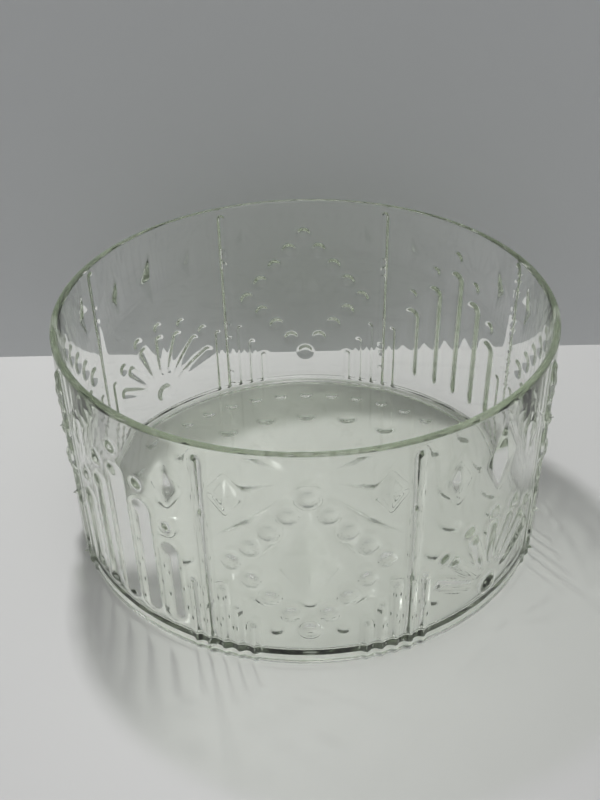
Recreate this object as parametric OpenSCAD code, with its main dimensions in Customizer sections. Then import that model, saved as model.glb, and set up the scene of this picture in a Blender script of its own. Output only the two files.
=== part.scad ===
// Straight-sided serving bowl of pressed clear glass.
// The origin is at the centre of the underside, on the table, and +Z is up.
// The glass is one pressing. Its regions meet face to face: a foot ring, a base slab, the wall
// and the lip are stacked, and the moulded ornament sits on the outer faces.

/* [Bowl] */
// Outer diameter at the lip
rim_d = 208; // [196:1:224]
// How much less the base slab measures across than the lip
base_taper = 6; // [2:1:18]
// Overall height
bowl_h = 104; // [98:1:120]
// Thickness of the wall, measured level
wall_t = 3.2; // [2.6:0.1:4.5]
// Thickness of the glass floor
floor_t = 3.6; // [3:0.1:5]
// Radius of the inside corner between wall and floor
corner_r = 2.4; // [1.5:0.1:4]
// How far the base slab stands out past the foot of the wall
base_step = 0.3; // [0.2:0.1:1]
// How far the wall starts below the top of the floor
wall_seat = 0.6; // [0.4:0.1:1]

/* [Foot] */
// Height of the foot ring under the slab
foot_h = 1.5; // [1.3:0.1:2.5]
// Width of the foot ring
foot_w = 5; // [4:0.5:9]
// Bevel at the foot ring's outer edge
foot_bevel = 0.7; // [0.3:0.1:1]

/* [Ribs] */
// Radius of the ribs that part the panels
rib_r = 2.2; // [1.6:0.1:2.6]
// How far those ribs stand proud of the wall
rib_proud = 1.7; // [1:0.1:1.9]
// Plain glass between the ribs' tops and the lip
rib_gap = 3; // [2:0.5:8]
// Radius of the short reeds at the foot
reed_r = 1.9; // [1.4:0.1:2.2]
// How far the reeds stand proud
reed_proud = 1.3; // [0.8:0.1:1.5]

/* [Beads] */
// Radius of a bead at the wall
bead_w = 4; // [3:0.1:4.4]
// How far a bead stands proud
bead_proud = 2; // [1.2:0.1:2.4]
// Height of the straight collar under a bead's dome
bead_collar = 0.15; // [0.1:0.05:0.3]
// Beads along one side of a diamond
diamond_beads = 5; // [3:1:5]

/* [Lozenges] */
// Half width of the large lozenge inside a diamond
boss_w = 13; // [10:0.5:14]
// Half height of the large lozenge
boss_l = 18; // [14:0.5:20]
// How far the large lozenge stands proud
boss_proud = 3; // [2.4:0.1:3.4]
// Half width of a small lozenge
lozenge_w = 8.5; // [6:0.5:9.5]
// Half height of a small lozenge
lozenge_l = 15; // [12:0.5:16]
// How far a small lozenge stands proud
lozenge_proud = 2.4; // [2:0.1:2.8]

/* [Fans] */
// Rays in a fan
fan_rays = 7; // [5:2:7]
// Radius of a ray
ray_r = 3.2; // [2.8:0.1:3.4]
// Length of a ray
ray_l = 23; // [20:0.5:24]
// How far a ray stands proud at its middle
ray_proud = 1.3; // [1:0.1:1.5]
// Degrees by which a ray rises towards its outer end
ray_tilt = 4; // [2:0.5:5]
// Distance from the point of a fan to its rays
fan_gap = 10; // [9:0.5:11]

/* [Flutes] */
// Half width of a flute at its middle
flute_w = 5; // [4:0.1:5.2]
// How far a flute stands proud at its middle
flute_proud = 2; // [1.2:0.1:2.4]
// Degrees by which a flute rises towards its top
flute_tilt = 1; // [0.6:0.1:1.2]

/* [Underside] */
// Rays of the star under the floor
star_rays = 12; // [8:2:16]
// Half width of a star ray
star_w = 5; // [3:0.5:5]
// Inner radius of the star
star_in = 14; // [13:0.5:18]
// Plain glass between the star and the ring of beads round it
star_gap = 8.5; // [6:0.5:14]
// Beads in the ring round the star
ring_beads = 20; // [12:4:24]
// From the middle of that ring to the middle of the ring of small beads near the foot
ring_gap = 18; // [14:0.5:20]
// Radius of one of the beads round the star
ring_bead_w = 5.5; // [4:0.1:6]
// Small beads in the ring near the foot
edge_beads = 40; // [20:4:60]
// From the middle of that ring to the foot ring
edge_gap = 12; // [8:0.5:16]
// Radius of one of the small beads
edge_bead_w = 3; // [2:0.1:3.4]
// How far the ornament stands out under the floor
under_proud = 1.1; // [0.6:0.1:1.2]

/* [Hidden] */
$fn = 96;
glass = [0.86, 0.9, 0.88, 0.45];
// Overrun of every cut and seat past the face that it crosses
over = 1;
// Facets of the large round shapes
round_fn = 256;

// Levels and radii
slab_z = foot_h;
floor_z = foot_h + floor_t;
wall_z = floor_z - wall_seat;
lip_z = bowl_h - wall_t / 2;
lip_r = rim_d / 2;
base_r = lip_r - base_taper / 2;
wall_foot_r = base_r - base_step;
floor_r = wall_foot_r - wall_t - corner_r;
edge_ring_r = base_r - foot_w - edge_gap;
ring_r = edge_ring_r - ring_gap;
star_out = ring_r - ring_bead_w - star_gap;
draft = atan((lip_r - wall_foot_r) / (lip_z - wall_z));
// Outer radius of the wall at height z
function wall_r(z) = wall_foot_r + (lip_r - wall_foot_r) * (z - wall_z) / (lip_z - wall_z);
// How far the wall falls away from its own tangent plane, at w to the side
function fall(w) = w * w / (2 * lip_r);
// Radius of an arc that rises by proud over a half chord w
function dome_r(w, proud) = (w * w + proud * proud) / (2 * proud);

// The wall has eight panels of three kinds, parted by ribs and counted from the front, at -Y
panels = 8;
panel_angle = 360 / panels;
all_panels = [0 : panels - 1];
diamond_panels = [0 : 2 : panels - 1];
fan_panels = [1 : 4 : panels - 1];
flute_panels = [3 : 4 : panels - 1];
plain_foot_panels = [1 : 2 : panels - 1];

// Places in a panel: across, as shares of its half width, and up, as shares of the bowl's height
diamond_mid_share = 0.5;
diamond_half_shares = [0.73, 0.315];
diamond_reed_shares = [[0.85, 0.37], [0.7, 0.28], [0.55, 0.2]];
diamond_lozenge_shares = [[-0.74, 0.8], [0.74, 0.8]];
plain_reed_shares = [[0.85, 0.37]];
fan_foot_share = 0.14;
fan_lozenge_shares = [[0, 0.75], [-0.56, 0.755], [0.56, 0.755]];
flute_lozenge_shares = [[-0.66, 0.78], [0.66, 0.78]];
// Here the second share is where a flute ends, and all of them start at the foot share
flute_shares = [[-0.6, 0.5], [-0.3, 0.65], [0, 0.76], [0.3, 0.65], [0.6, 0.5]];
flute_foot_share = 0.1;
flute_bead_share = 0.07;
function up(share) = bowl_h * share;
function across(share) = share * panel_angle / 2;

// Degrees over which the fans' rays and the beads over them are spread, the number of those
// beads, and sizes as scales of the full ones
fan_spread = 126;
fan_crown_spread = 88;
fan_crown_beads = 5;
crown_scale = 0.7;
fan_point_scale = 1.2;
side_lozenge_scale = 0.68;
centre_bead_scale = 1.4;

// Draws on the panel that faces +X, and copies that to each of the panels named
module on_panels(numbers)
    for (k = numbers) rotate([0, 0, panel_angle * k - 90]) children();

// Moves a shape to the wall's face: its X runs round the bowl, its Y up the wall, its Z outwards
module on_wall(az, z)
    rotate([0, 0, az]) translate([wall_r(z), 0, z]) rotate([0, draft, 0]) rotate([90, 0, 90])
        children();

// Moves a shape to the floor's underside: its Y runs outwards, its Z down
module under_floor(az, radius)
    rotate([0, 0, az - 90]) translate([0, radius, slab_z]) mirror([0, 0, 1]) children();

// Keeps what stands proud of the wall and of the slab's edge
module proud_of_wall()
    difference() {
        children();
        rotate([0, 0, 180]) rotate_extrude($fn = round_fn)
            polygon([[0, -bowl_h], [base_r - foot_bevel, -bowl_h], [base_r - foot_bevel, 0],
                     [base_r, foot_bevel], [base_r, wall_z], [wall_foot_r, wall_z],
                     [lip_r, lip_z], [lip_r, 2 * bowl_h], [0, 2 * bowl_h]]);
    }

// Keeps what stands out under the floor
module proud_of_floor()
    difference() {
        children();
        translate([0, 0, slab_z]) cylinder(r = base_r, h = bowl_h, $fn = round_fn);
    }

// A dome on a low straight collar
module bead(w, proud) {
    radius = dome_r(w, proud);
    to_collar = radius - proud + bead_collar;
    rotate_extrude()
        intersection() {
            translate([0, proud - radius]) circle(radius, $fn = round_fn);
            translate([0, -over]) square([sqrt(radius * radius - to_collar * to_collar),
                                          over + proud]);
        }
}

// A round bar along Y that stands proud at its middle and may rise towards its far end. That end
// is round, and the near end is round or flat.
module bar(length, radius, proud, tilt = 0, flat = false) {
    near = flat ? -length / 2 : radius - length / 2;
    far = length / 2 - radius;
    translate([0, 0, proud - radius]) rotate([tilt - 90, 0, 0]) rotate_extrude()
        intersection() {
            union() {
                translate([0, far]) circle(radius);
                if (!flat) translate([0, near]) circle(radius);
                translate([0, near]) square([radius, far - near]);
            }
            translate([0, -length]) square([radius, 2 * length]);
        }
}

// A low pyramid on a lozenge, made by two ridge roofs that cross
module pyramid(w, l, proud, side_fall = 0) {
    side = w * proud / (proud + side_fall);
    half_span = side * l / sqrt(side * side + l * l);
    turn = atan(side / l);
    deep = 1 + (side_fall + over) / proud;
    intersection_for (way = [-1, 1])
        rotate([0, 0, way * turn]) translate([0, l * deep, 0]) rotate([90, 0, 0])
            linear_extrude(2 * l * deep)
                polygon([[0, proud], [half_span * deep, proud - proud * deep],
                         [-half_span * deep, proud - proud * deep]]);
}

module foot_ring()
    color(glass) rotate_extrude($fn = round_fn)
        polygon([[base_r - foot_w, 0], [base_r - foot_bevel, 0], [base_r, foot_bevel],
                 [base_r, slab_z], [base_r - foot_w, slab_z]]);

// The floor's face is level with the start of the inside corner, and the wall stands round it
module base_slab()
    color(glass) rotate_extrude($fn = round_fn)
        polygon([[0, slab_z], [base_r, slab_z], [base_r, wall_z], [floor_r, wall_z],
                 [floor_r, floor_z], [0, floor_z]]);

module wall()
    color(glass) rotate_extrude($fn = round_fn) {
        polygon([[wall_foot_r - wall_t, wall_z], [wall_foot_r, wall_z], [lip_r, lip_z],
                 [lip_r - wall_t, lip_z]]);
        difference() {
            translate([floor_r, wall_z]) square([corner_r + wall_t / 2, wall_seat + corner_r]);
            translate([floor_r, floor_z + corner_r]) circle(corner_r);
        }
    }

module rim_lip()
    color(glass) rotate_extrude($fn = round_fn)
        intersection() {
            translate([lip_r - wall_t / 2, lip_z]) circle(wall_t / 2);
            translate([lip_r - wall_t, lip_z]) square([wall_t, wall_t]);
        }

// A rib or reed from below the slab's edge up the wall to height z
module rib(az, z, radius, proud)
    proud_of_wall() on_wall(az, (z + foot_bevel) / 2)
        bar((z - foot_bevel) / cos(draft), radius, proud, flat = true);

module panel_ribs()
    color(glass) on_panels(all_panels) rib(across(1), lip_z - rib_gap, rib_r, rib_proud);

module foot_reeds()
    color(glass) {
        on_panels(diamond_panels) reeds(diamond_reed_shares);
        on_panels(plain_foot_panels) reeds(plain_reed_shares);
    }

module reeds(places)
    for (place = places, side = [-1, 1])
        rib(side * across(place[0]), up(place[1]), reed_r, reed_proud);

module diamond_bosses()
    color(glass) on_panels(diamond_panels)
        proud_of_wall() on_wall(0, up(diamond_mid_share))
            pyramid(boss_w, boss_l, boss_proud, fall(boss_w));

module diamond_beads()
    color(glass) on_panels(diamond_panels)
        for (i = [0 : diamond_beads - 1], j = [0 : diamond_beads - 1])
            if (i * j == 0 || max(i, j) == diamond_beads - 1)
                diamond_bead((i - j) / (diamond_beads - 1), (i + j) / (diamond_beads - 1) - 1);

// One bead of a diamond, its place given from -1 to 1 across and up
module diamond_bead(x, y)
    proud_of_wall()
        on_wall(across(diamond_half_shares[0] * x),
                up(diamond_mid_share + diamond_half_shares[1] * y))
            bead(bead_w, bead_proud);

// A place on an arc round the point of a fan, turned from the vertical
module on_fan(radius, turn) {
    z = up(fan_foot_share) + radius * cos(turn);
    on_wall(radius * sin(turn) / wall_r(z) * 180 / PI, z) rotate([0, 0, -turn]) children();
}

module fan_rays()
    color(glass) on_panels(fan_panels)
        for (i = [0 : fan_rays - 1])
            proud_of_wall() on_fan(fan_gap + ray_l / 2, fan_spread * (i / (fan_rays - 1) - 1 / 2))
                bar(ray_l, ray_r, ray_proud, ray_tilt);

module flutes()
    color(glass) on_panels(flute_panels)
        for (place = flute_shares)
            proud_of_wall() on_wall(across(place[0]), up(place[1] + flute_foot_share) / 2)
                bar(up(place[1] - flute_foot_share), dome_r(flute_w, flute_proud), flute_proud,
                    flute_tilt);

module small_lozenges()
    color(glass) {
        on_panels(diamond_panels) for (place = diamond_lozenge_shares) small_lozenge(place);
        on_panels(fan_panels) for (place = fan_lozenge_shares) small_lozenge(place);
        on_panels(flute_panels) for (place = flute_lozenge_shares) small_lozenge(place);
    }

// One lozenge, smaller where it stands beside the middle of its panel
module small_lozenge(place)
    proud_of_wall() on_wall(across(place[0]), up(place[1]))
        scale(place[0] == 0 ? 1 : side_lozenge_scale)
            pyramid(lozenge_w, lozenge_l, lozenge_proud, fall(lozenge_w));

module crown_beads()
    color(glass) {
        on_panels(fan_panels) {
            for (i = [0 : fan_crown_beads - 1])
                proud_of_wall()
                    on_fan(fan_gap + ray_l + bead_w,
                           fan_crown_spread * (i / (fan_crown_beads - 1) - 1 / 2))
                        bead(bead_w * crown_scale, bead_proud * crown_scale);
            proud_of_wall() on_fan(0, 0)
                bead(bead_w * fan_point_scale, bead_proud * fan_point_scale);
        }
        on_panels(flute_panels)
            for (place = flute_shares)
                proud_of_wall() on_wall(across(place[0]), up(place[1] + flute_bead_share))
                    bead(bead_w * crown_scale, bead_proud * crown_scale);
    }

module star_rays()
    color(glass)
        for (i = [0 : star_rays - 1])
            proud_of_floor() under_floor(360 * i / star_rays, (star_in + star_out) / 2)
                pyramid(star_w, (star_out - star_in) / 2, under_proud);

module underside_beads()
    color(glass) {
        for (i = [0 : ring_beads - 1])
            proud_of_floor() under_floor(360 * i / ring_beads, ring_r)
                bead(ring_bead_w, under_proud);
        for (i = [0 : edge_beads - 1])
            proud_of_floor() under_floor(360 * i / edge_beads, edge_ring_r)
                bead(edge_bead_w, under_proud);
        proud_of_floor() under_floor(0, 0) bead(ring_bead_w * centre_bead_scale, under_proud);
    }

foot_ring();
base_slab();
wall();
rim_lip();
panel_ribs();
foot_reeds();
diamond_bosses();
diamond_beads();
fan_rays();
flutes();
small_lozenges();
crown_beads();
star_rays();
underside_beads();
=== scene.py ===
# A straight-sided serving bowl of clear pressed glass on a pale table, in front of a grey wall.
# The glass is one pressing, so it is one closed skin: glass pieces that touch would show a false
# mirror line inside. The skin follows the CAD model's own numbers, which are in millimetres here.
import bpy, bmesh, math, random
import numpy as np
from mathutils import Matrix, Vector


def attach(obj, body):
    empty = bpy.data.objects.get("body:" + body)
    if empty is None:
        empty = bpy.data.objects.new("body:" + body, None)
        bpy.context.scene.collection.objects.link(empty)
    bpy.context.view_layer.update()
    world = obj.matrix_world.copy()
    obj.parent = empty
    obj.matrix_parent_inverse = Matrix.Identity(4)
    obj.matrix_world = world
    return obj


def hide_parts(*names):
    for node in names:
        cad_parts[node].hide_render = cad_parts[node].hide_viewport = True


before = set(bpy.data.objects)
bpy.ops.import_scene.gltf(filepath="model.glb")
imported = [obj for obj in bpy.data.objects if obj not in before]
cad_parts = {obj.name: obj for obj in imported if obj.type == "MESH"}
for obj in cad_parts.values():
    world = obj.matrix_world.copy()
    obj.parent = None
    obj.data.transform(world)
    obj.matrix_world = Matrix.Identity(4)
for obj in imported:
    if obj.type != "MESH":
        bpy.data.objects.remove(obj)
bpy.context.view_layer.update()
millimetre = 0.001


def linearColour(text):
    # sRGB hex to the linear colour that a socket takes
    values = [int(text[i:i + 2], 16) / 255 for i in (1, 3, 5)]
    return [v / 12.92 if v <= 0.04045 else ((v + 0.055) / 1.055) ** 2.4 for v in values] + [1.0]


def addNode(tree, kind, settings=None, links=None):
    node = tree.nodes.new(kind)
    for name, value in (settings or {}).items():
        if name in node.inputs:
            node.inputs[name].default_value = value
        else:
            setattr(node, name, value)
    for name, source in (links or {}).items():
        tree.links.new(source, node.inputs[name])
    return node


def newMaterial(name):
    material = bpy.data.materials.new(name)
    material.use_nodes = True
    material.node_tree.nodes.clear()
    return material, material.node_tree


# Bowl profile
bowl = {
    "rimRadius": 104.0, "baseRadius": 101.0, "height": 104.0, "wall": 3.2, "floor": 3.6,
    "corner": 2.4, "step": 0.3, "seat": 0.6, "footHeight": 1.5, "footWidth": 5.0, "footBevel": 0.7,
    "turns": 608,           # steps round the outer skin, about a millimetre each
    "rowHeight": 1.1,       # rows of the moulded wall
    "underRow": 1.2,        # rings of the moulded underside
    "edgeRound": 0.35,      # fire polishing at the foot's edges
    "underEdge": 79.0,      # the underside's outer part reaches in to this radius
    "halvedAt": (77.8, 15.0), "quarteredAt": (13.8, 0.0),       # its two inner parts, with fewer steps round
    "innerRow": 1.25,       # rings of the two inner parts
    "mouldedTo": 100.2, "plainTo": 101.6,       # levels where the rows end, and of the plain band over them
    "insideLevels": (60.0, 12.0), "floorRing": 40.0,            # the plain inside needs few rings
}
floorTop = bowl["footHeight"] + bowl["floor"]
wallStart = floorTop - bowl["seat"]
lipLevel = bowl["height"] - bowl["wall"] / 2
wallFoot = bowl["baseRadius"] - bowl["step"]
lean = (bowl["rimRadius"] - wallFoot) / (lipLevel - wallStart)


def wallRadius(z):
    return wallFoot + lean * (z - wallStart)


def arc(centre, radius, start, end, steps):
    # Points of an arc, its angles in degrees from the outward direction
    angles = [math.radians(start + (end - start) * i / steps) for i in range(steps + 1)]
    return [(centre[0] + radius * math.cos(a), centre[1] + radius * math.sin(a)) for a in angles]


def rows(first, last, spacing):
    # Points from first to last, evenly spaced, without the last
    count = max(1, round(math.dist(first, last) / spacing))
    return [(first[0] + (last[0] - first[0]) * i / count, first[1] + (last[1] - first[1]) * i / count)
            for i in range(count)]


def bowlProfile(underEdge):
    # From the underside's outer part, round the foot, up, over the lip, down and in over the floor
    footIn = bowl["baseRadius"] - bowl["footWidth"]
    polish, bevel, base = bowl["edgeRound"], bowl["footBevel"], bowl["baseRadius"]
    points = rows((underEdge, bowl["footHeight"]), (footIn - polish, bowl["footHeight"]), bowl["underRow"])
    points += arc((footIn - polish, bowl["footHeight"] - polish), polish, 90, 0, 2)
    points += arc((footIn + polish, polish), polish, 180, 270, 2)
    points += [(base - bevel - 0.25, 0.0), (base - bevel + 0.15, 0.12), (base - 0.12, bevel - 0.15)]
    points += [(base, bevel + 0.25), (base, bevel + 1.3), (base, wallStart - 1.2), (base, wallStart - 0.3)]
    points += [(base - 0.08, wallStart - 0.02), (wallFoot + 0.05, wallStart + 0.22)]
    first, last, plain = wallStart + 0.7, bowl["mouldedTo"], bowl["plainTo"]
    points += rows((wallRadius(first), first), (wallRadius(last), last), bowl["rowHeight"])
    points += [(wallRadius(last), last), (wallRadius(plain), plain)]
    thick = bowl["wall"]
    points += arc((bowl["rimRadius"] - thick / 2, lipLevel), thick / 2, 0, 180, 8)
    cornerCentre = (wallFoot - thick - bowl["corner"], floorTop + bowl["corner"])
    points += [(wallRadius(inside) - thick, inside) for inside in bowl["insideLevels"]]
    points += arc(cornerCentre, bowl["corner"], 0, -90, 5)
    points += [(cornerCentre[0] - 1.5, floorTop), (bowl["floorRing"], floorTop), (0.0, floorTop)]
    return points


def spinEighth(mesh, points, steps):
    made = [mesh.verts.new((r * millimetre, 0.0, z * millimetre)) for r, z in points]
    edges = [mesh.edges.new(pair) for pair in zip(made, made[1:])]
    bmesh.ops.spin(mesh, geom=made + edges, axis=(0, 0, 1), cent=(0, 0, 0), angle=math.tau / 8,
                   steps=steps // 8)


def ringEdges(mesh, radii):
    # The open edges that run round the axis at one of these radii, in millimetres
    def on(vertex, radius):
        return abs(vertex.co.xy.length / millimetre - radius) < 0.01
    return [e for e in mesh.edges
            if e.is_boundary and any(on(e.verts[0], r) and on(e.verts[1], r) for r in radii)]


print("bowl: spinning the skin")
# An eighth of the skin is spun and then copied round, which is much quicker than one long spin.
# Towards the middle of the underside the steps are halved twice.
mesh = bmesh.new()
turns, level = bowl["turns"], bowl["footHeight"]
spinEighth(mesh, bowlProfile(bowl["underEdge"]), turns)
for (outer, inner), steps in ((bowl["halvedAt"], turns // 2), (bowl["quarteredAt"], turns // 4)):
    spinEighth(mesh, rows((outer, level), (inner, level), bowl["innerRow"]) + [(inner, level)], steps)
for gap in ((bowl["underEdge"], bowl["halvedAt"][0]), (bowl["halvedAt"][1], bowl["quarteredAt"][0])):
    bmesh.ops.bridge_loops(mesh, edges=ringEdges(mesh, gap))
bmesh.ops.spin(mesh, geom=mesh.verts[:] + mesh.edges[:] + mesh.faces[:], axis=(0, 0, 1), cent=(0, 0, 0),
               angle=math.tau * 7 / 8, steps=7, use_duplicate=True)
bmesh.ops.remove_doubles(mesh, verts=mesh.verts, dist=0.00001)

print("bowl: moulding the relief")
places = random.Random(11)      # a cut mould is never quite even: sizes and places vary a little


def varied(value, share=0.03):
    return value * (1 + places.uniform(-share, share))


def dome(x, y, radius, proud):
    # A cap of a ball, carried on below the surface at the slope of its edge
    ball = (radius * radius + proud * proud) / (2 * proud)
    away = np.sqrt(x * x + y * y)
    inside = np.sqrt(np.maximum(ball * ball - away * away, 0)) - ball + proud
    return np.where(away < radius, inside, (radius - away) * radius / (ball - proud))


def bar(x, y, half, low, high, proud):
    # A round bar along y from low to high with round ends
    past = np.maximum(np.maximum(low + half - y, y - high + half), 0)
    return proud * (1 - (x * x + past * past) / (half * half))


def lozenge(x, y, w, l, proud):
    # A low pyramid whose ridges are softened as the glass comes out of the mould
    return proud * (1 - np.sqrt(x * x + 0.06) / w - np.sqrt(y * y + 0.1) / l)


def turned(x, y, degrees):
    c, s = math.cos(math.radians(degrees)), math.sin(math.radians(degrees))
    return x * c - y * s, x * s + y * c


def halfWidth(radius, proud):
    return math.sqrt(radius * radius - (radius - proud) ** 2)


relief = {
    "panels": 8, "ribRadius": 2.2, "ribProud": 1.7, "ribTop": 99.4,
    "reedRadius": 1.9, "reedProud": 1.3,
    "beadRadius": 4.0, "beadProud": 2.0, "beadsOnSide": 5, "diamondAcross": 0.73, "diamondUp": 0.315,
    "bossWidth": 13.0, "bossHeight": 18.0, "bossProud": 3.0,
    "lozengeWidth": 8.5, "lozengeHeight": 15.0, "lozengeProud": 2.4, "sideLozenge": 0.68,
    "rays": 7, "rayRadius": 3.2, "rayLength": 23.0, "rayProud": 1.3, "raySpread": 126.0, "fanGap": 10.0,
    "crownBeads": 5, "crownSpread": 88.0, "crownScale": 0.7,
    "fluteWidth": 5.0, "fluteProud": 2.0,
    "softness": 0.3,        # how softly a motif runs into the wall
}
halfPanel = 180 / relief["panels"]


def up(share):
    return bowl["height"] * share


def panelRelief(kind, delta, z):
    # Height of the relief in one panel; delta is in degrees from the panel's middle
    def local(across, level):
        return (np.radians(delta - across * halfPanel) * wallRadius(z), z - level)

    def raiseTo(height, shape):
        np.maximum(height, shape, out=height)

    height = np.full_like(z, -9.0)
    for side in (-1, 1):
        x, y = local(side, 0)
        raiseTo(height, bar(x, y, halfWidth(relief["ribRadius"], relief["ribProud"]), -9,
                            relief["ribTop"], relief["ribProud"]))
        reeds = ((0.85, 0.37), (0.7, 0.28), (0.55, 0.2)) if kind == "diamond" else ((0.85, 0.37),)
        for across, top in reeds:
            x, y = local(side * across, 0)
            raiseTo(height, bar(x, y, halfWidth(relief["reedRadius"], relief["reedProud"]), -9,
                                up(top), varied(relief["reedProud"])))
    beadRadius, beadProud, small = relief["beadRadius"], relief["beadProud"], relief["crownScale"]
    if kind == "diamond":
        x, y = local(0, up(0.5))
        raiseTo(height, lozenge(x, y, relief["bossWidth"], relief["bossHeight"], relief["bossProud"]))
        last = relief["beadsOnSide"] - 1
        for i in range(last + 1):
            for j in range(last + 1):
                if i * j == 0 or max(i, j) == last:
                    x, y = local(relief["diamondAcross"] * (i - j) / last,
                                 up(0.5 + relief["diamondUp"] * ((i + j) / last - 1)))
                    raiseTo(height, dome(x, y, varied(beadRadius), varied(beadProud)))
        lozenges = ((-0.74, 0.8, relief["sideLozenge"]), (0.74, 0.8, relief["sideLozenge"]))
    elif kind == "fan":
        lozenges = ((0, 0.75, 1), (-0.56, 0.755, relief["sideLozenge"]), (0.56, 0.755, relief["sideLozenge"]))
        x, y = local(0, up(0.14))
        raiseTo(height, dome(x, y, beadRadius * 1.2, beadProud * 1.2))
        for i in range(relief["rays"]):
            rx, ry = turned(x, y, relief["raySpread"] * (i / (relief["rays"] - 1) - 0.5))
            along = (ry - relief["fanGap"] - relief["rayLength"] / 2) / (relief["rayLength"] / 2)
            proud = relief["rayProud"] * (1 + 0.35 * np.clip(along, -1, 1))
            raiseTo(height, bar(rx, ry, halfWidth(relief["rayRadius"], relief["rayProud"]), relief["fanGap"],
                                relief["fanGap"] + relief["rayLength"], proud))
        for i in range(relief["crownBeads"]):
            rx, ry = turned(x, y, relief["crownSpread"] * (i / (relief["crownBeads"] - 1) - 0.5))
            ry = ry - relief["fanGap"] - relief["rayLength"] - beadRadius
            raiseTo(height, dome(rx, ry, varied(beadRadius * small), varied(beadProud * small)))
    else:
        lozenges = ((-0.66, 0.78, relief["sideLozenge"]), (0.66, 0.78, relief["sideLozenge"]))
        for across, top in ((-0.6, 0.5), (-0.3, 0.65), (0, 0.76), (0.3, 0.65), (0.6, 0.5)):
            x, y = local(across, 0)
            raiseTo(height, bar(x, y, relief["fluteWidth"], up(0.1), up(top), varied(relief["fluteProud"])))
            x, y = local(across, up(top + 0.07))
            raiseTo(height, dome(x, y, beadRadius * small, beadProud * small))
    for across, level, size in lozenges:
        x, y = local(across, up(level))
        raiseTo(height, size * lozenge(x / size, y / size, relief["lozengeWidth"], relief["lozengeHeight"],
                                       relief["lozengeProud"]))
    return height


under = {"proud": 1.1, "starRays": 12, "starWidth": 5.0, "starIn": 14.0, "starOut": 52.0,
         "ringBeads": 20, "ringRadius": 66.0, "ringBead": 5.5, "edgeBeads": 40, "edgeRadius": 84.0,
         "edgeBead": 3.0, "centreBead": 7.7}


def underRelief(x, y):
    height = dome(x, y, under["centreBead"], under["proud"])
    for i in range(under["starRays"]):
        rx, ry = turned(x, y, 360 * i / under["starRays"] - 90)
        np.maximum(height, lozenge(rx, ry - (under["starIn"] + under["starOut"]) / 2, under["starWidth"],
                                   (under["starOut"] - under["starIn"]) / 2, under["proud"]), out=height)
    for count, radius, bead in ((under["ringBeads"], under["ringRadius"], under["ringBead"]),
                                (under["edgeBeads"], under["edgeRadius"], under["edgeBead"])):
        for i in range(count):
            a = math.tau * i / count
            np.maximum(height, dome(x - radius * math.cos(a), y - radius * math.sin(a), varied(bead, 0.02),
                                    under["proud"]), out=height)
    return height


def softened(height):
    # Nothing below zero, with a small fillet where a motif meets the plain glass
    soft = relief["softness"]
    return (height + np.sqrt(height * height + soft * soft)) / 2


vertices = list(mesh.verts)
points = np.array([v.co for v in vertices]) / millimetre
radius = np.hypot(points[:, 0], points[:, 1])
azimuth = np.degrees(np.arctan2(points[:, 1], points[:, 0]))
z = points[:, 2]
outside = (radius > wallRadius(z) - bowl["wall"] / 2) & (z > 0.3) & (z < lipLevel - 0.1)
panelKinds = ("diamond", "fan", "diamond", "flute", "diamond", "fan", "diamond", "flute")
for k, kind in enumerate(panelKinds):
    delta = (azimuth - (45 * k - 90) + 180) % 360 - 180
    here = outside & (np.abs(delta) <= halfPanel + 1e-6)
    height = panelRelief(kind, delta[here], z[here])
    behind = radius[here] - wallRadius(z[here])       # the slab's edge stands out past the wall's line
    rise = softened(height - behind) - softened(np.full_like(height, -9.0))
    fade = np.clip((z[here] - 0.3) / 0.4, 0, 1)
    grown = (radius[here] + np.maximum(rise, 0) * fade) / radius[here]
    points[here, 0] *= grown
    points[here, 1] *= grown
below = (np.abs(z - bowl["footHeight"]) < 0.01) & (radius < bowl["baseRadius"] - bowl["footWidth"] - 0.5)
points[below, 2] -= softened(underRelief(points[below, 0], points[below, 1]))
for vertex, place in zip(vertices, points):
    vertex.co = place * millimetre

bmesh.ops.recalc_face_normals(mesh, faces=mesh.faces)
if mesh.calc_volume(signed=True) < 0:
    bmesh.ops.reverse_faces(mesh, faces=mesh.faces)
print("bowl: triangles", sum(len(f.verts) - 2 for f in mesh.faces), "open edges",
      sum(not e.is_manifold for e in mesh.edges), "cm3", round(mesh.calc_volume() * 1e6, 1))
for face in mesh.faces:
    face.smooth = True
bowlMesh = bpy.data.meshes.new("bowl_glass")
mesh.to_mesh(bowlMesh)
mesh.free()
bowlPiece = bpy.data.objects.new("bowl_glass", bowlMesh)
bpy.context.collection.objects.link(bowlPiece)

print("bowl: glass")
glass = {
    "ior": 1.517, "roughness": 0.012,
    "tint": "#D7E4C8", "tintDensity": 12.0,    # green that shows only where the glass is deep
    "swell": 26.0, "swellDepth": 0.05,          # mm: slow waves left by the plunger
    "ripple": 5.0, "rippleDepth": 0.012,        # mm: the chilled, then fire-polished skin
    "handled": 3.0,         # how much rougher the skin is where it was handled most
    "passed": ((0.58, "#F4F6F2"), (0.9, "#363834")),    # light let through, by how steep the skin is to it
}
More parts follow.
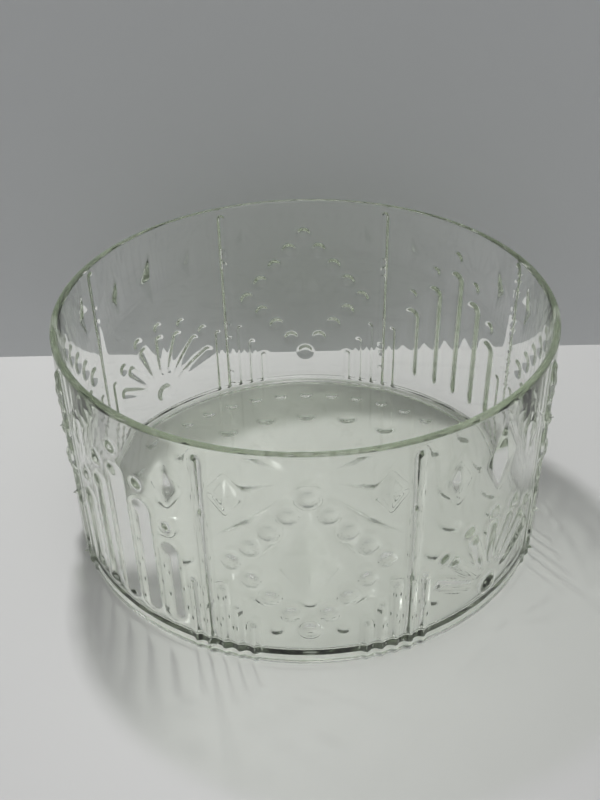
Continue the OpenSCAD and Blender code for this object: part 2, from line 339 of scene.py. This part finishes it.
# Pressed soda-lime glass, fire polished: clear and glossy, with slow waves in its skin that bend
# what is seen through it, and an iron-green tint that only deep glass shows
material, tree = newMaterial("pressed_soda_lime_glass")
place = addNode(tree, "ShaderNodeTexCoord").outputs["Object"]
swell = addNode(tree, "ShaderNodeTexNoise", {"Scale": 1000 / glass["swell"], "Detail": 1.0, "Roughness": 0.4},
                {"Vector": place})
ripple = addNode(tree, "ShaderNodeTexNoise",
                 {"Scale": 1000 / glass["ripple"], "Detail": 2.0, "Roughness": 0.5}, {"Vector": place})
wave = addNode(tree, "ShaderNodeBump", {"Strength": 1.0, "Distance": glass["swellDepth"] * millimetre},
               {"Height": swell.outputs["Fac"]})
skin = addNode(tree, "ShaderNodeBump", {"Strength": 1.0, "Distance": glass["rippleDepth"] * millimetre},
               {"Height": ripple.outputs["Fac"], "Normal": wave.outputs["Normal"]})
handling = addNode(tree, "ShaderNodeMapRange",
                   {"From Min": 0.4, "From Max": 0.75, "To Min": glass["roughness"],
                    "To Max": glass["roughness"] * glass["handled"]}, {"Value": swell.outputs["Fac"]})
clear = addNode(tree, "ShaderNodeBsdfPrincipled",
                {"Base Color": (1, 1, 1, 1), "IOR": glass["ior"], "Transmission Weight": 1.0},
                {"Roughness": handling.outputs["Result"], "Normal": skin.outputs["Normal"]})
depth = addNode(tree, "ShaderNodeVolumeAbsorption",
                {"Color": linearColour(glass["tint"]), "Density": glass["tintDensity"]})
# Light for the table passes straight through where the skin is plain, and is thrown aside where
# the relief is steep to it, which draws the streaked shadow
rays = addNode(tree, "ShaderNodeLightPath").outputs
unseen = addNode(tree, "ShaderNodeMath", {"operation": "MAXIMUM"})
tree.links.new(rays["Is Shadow Ray"], unseen.inputs[0])
tree.links.new(rays["Is Diffuse Ray"], unseen.inputs[1])
slant = addNode(tree, "ShaderNodeLayerWeight", {"Blend": 0.5}).outputs["Facing"]
passed = addNode(tree, "ShaderNodeValToRGB", links={"Fac": slant})
for i, (position, colour) in enumerate(glass["passed"]):
    stop = passed.color_ramp.elements[i]
    stop.position, stop.color = position, linearColour(colour)
straight = addNode(tree, "ShaderNodeBsdfTransparent", links={"Color": passed.outputs["Color"]})
seenOrLit = addNode(tree, "ShaderNodeMixShader", links={"Fac": unseen.outputs["Value"]})
tree.links.new(clear.outputs["BSDF"], seenOrLit.inputs[1])
tree.links.new(straight.outputs["BSDF"], seenOrLit.inputs[2])
addNode(tree, "ShaderNodeOutputMaterial",
        links={"Surface": seenOrLit.outputs["Shader"], "Volume": depth.outputs["Volume"]})
bowlMesh.materials.append(material)
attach(bowlPiece, "root")
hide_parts("foot_ring", "base_slab", "wall", "rim_lip", "panel_ribs", "foot_reeds",
            "diamond_bosses", "diamond_beads", "fan_rays", "flutes", "small_lozenges", "crown_beads",
            "star_rays", "underside_beads")

print("stage: table and wall")
stage = {
    "table": "#C2C2C1", "wall": "#B8BABC",
    "wallBehind": 132.0,        # mm from the bowl's middle
    "wallTurn": 0.3,            # degrees
    "reach": 1500.0,            # mm from the middle of each plane to its sides
    "gap": 0.05,                # mm between the table and the foot
}


def stagePlane(name, matrix, colour, size):
    mesh = bmesh.new()
    bmesh.ops.create_grid(mesh, x_segments=1, y_segments=1, size=size * millimetre, matrix=matrix)
    data = bpy.data.meshes.new(name)
    mesh.to_mesh(data)
    mesh.free()
    plane = bpy.data.objects.new(name, data)
    bpy.context.collection.objects.link(plane)
    material, tree = newMaterial(name + "_paint")
    place = addNode(tree, "ShaderNodeTexCoord").outputs["Object"]
    grain = addNode(tree, "ShaderNodeTexNoise", {"Scale": 900.0, "Detail": 3.0}, {"Vector": place})
    rough = addNode(tree, "ShaderNodeBump", {"Strength": 0.1, "Distance": 0.0001},
                    {"Height": grain.outputs["Fac"]})
    paint = addNode(tree, "ShaderNodeBsdfPrincipled", {"Base Color": linearColour(colour), "Roughness": 0.55},
                    {"Normal": rough.outputs["Normal"]})
    # Only the side that faces the bowl is seen, so that the bowl shows from behind too
    back = addNode(tree, "ShaderNodeNewGeometry").outputs["Backfacing"]
    oneSided = addNode(tree, "ShaderNodeMixShader", links={"Fac": back})
    tree.links.new(paint.outputs["BSDF"], oneSided.inputs[1])
    tree.links.new(addNode(tree, "ShaderNodeBsdfTransparent").outputs["BSDF"], oneSided.inputs[2])
    addNode(tree, "ShaderNodeOutputMaterial", links={"Surface": oneSided.outputs["Shader"]})
    data.materials.append(material)
    return plane


stagePlane("table", Matrix.Translation((0, 0, -stage["gap"] * millimetre)), stage["table"], stage["reach"])
upright = Matrix.Rotation(math.radians(stage["wallTurn"]), 4, "Z") @ Matrix.Rotation(math.radians(90), 4, "X")
wall = stagePlane("backdrop", Matrix.Translation((0, stage["wallBehind"] * millimetre, 0)) @ upright,
                  stage["wall"], stage["reach"])
wall.visible_shadow = False     # the main light comes from over the wall

print("light and camera")
lights = {
    "behind": {"from": (-0.14, 0.32, 0.74), "size": (0.06, 0.06), "watts": 3.8},
    "front": {"from": (0.3, -0.9, 1.2), "size": (0.8, 0.8), "watts": 1.6},
}
for name, light in lights.items():
    lamp = bpy.data.lights.new(name, "AREA")
    lamp.shape, lamp.energy = "RECTANGLE", light["watts"]
    lamp.size, lamp.size_y = light["size"]
    lampObject = bpy.data.objects.new(name, lamp)
    lampObject.location = light["from"]
    lampObject.rotation_euler = (-Vector(light["from"])).to_track_quat("-Z", "Y").to_euler()
    bpy.context.collection.objects.link(lampObject)

world = bpy.data.worlds.new("studio")
bpy.context.scene.world = world
world.use_nodes = True
tree = world.node_tree
tree.nodes.clear()
room = {
    "wallsTo": 0.55, "ceilingFrom": 0.9,        # sines of the angle above the horizon
    "walls": 0.48, "ceiling": 0.72,             # their strengths, where 1 is white
}
direction = addNode(tree, "ShaderNodeTexCoord").outputs["Generated"]
height = addNode(tree, "ShaderNodeSeparateXYZ", links={"Vector": direction}).outputs["Z"]
# A plain room with a bright ceiling, which the lip and the relief draw as pale lines
shade = addNode(tree, "ShaderNodeMapRange",
                {"interpolation_type": "SMOOTHSTEP", "From Min": room["wallsTo"],
                 "From Max": room["ceilingFrom"], "To Min": room["walls"], "To Max": room["ceiling"]},
                {"Value": height})
sky = addNode(tree, "ShaderNodeBackground", {"Color": (1.0, 1.0, 1.0, 1.0)},
              {"Strength": shade.outputs["Result"]})
addNode(tree, "ShaderNodeOutputWorld", links={"Surface": sky.outputs["Background"]})

# Millimetres and degrees, fitted to the ellipses of the bowl's lip and base
view = {"distance": 431.2, "height": 348.1, "pitch": 34.07, "yaw": -0.36, "roll": -1.22, "lens": 54.0}
pitch, yaw, roll = (math.radians(view[name]) for name in ("pitch", "yaw", "roll"))
forward = Vector((math.sin(yaw) * math.cos(pitch), math.cos(yaw) * math.cos(pitch), -math.sin(pitch)))
right = Vector((math.cos(yaw), -math.sin(yaw), 0))
above = right.cross(forward)
right, above = (right * math.cos(roll) + above * math.sin(roll),
                above * math.cos(roll) - right * math.sin(roll))
camera = bpy.data.objects.new("camera", bpy.data.cameras.new("camera"))
camera.data.lens, camera.data.sensor_width = view["lens"], 36.0
camera.data.clip_start = 0.01
camera.matrix_world = Matrix((
    (right.x, above.x, -forward.x, 0.0),
    (right.y, above.y, -forward.y, -view["distance"] * millimetre),
    (right.z, above.z, -forward.z, view["height"] * millimetre),
    (0, 0, 0, 1)))
bpy.context.collection.objects.link(camera)
bpy.context.scene.camera = camera
bpy.context.scene.view_settings.view_transform = "Standard"
cycles = bpy.context.scene.cycles
cycles.caustics_refractive = False      # the glass lets light through by its own shader
cycles.max_bounces = 32                 # light runs a long way inside the lip and the base
cycles.transmission_bounces = 32
cycles.glossy_bounces = 16
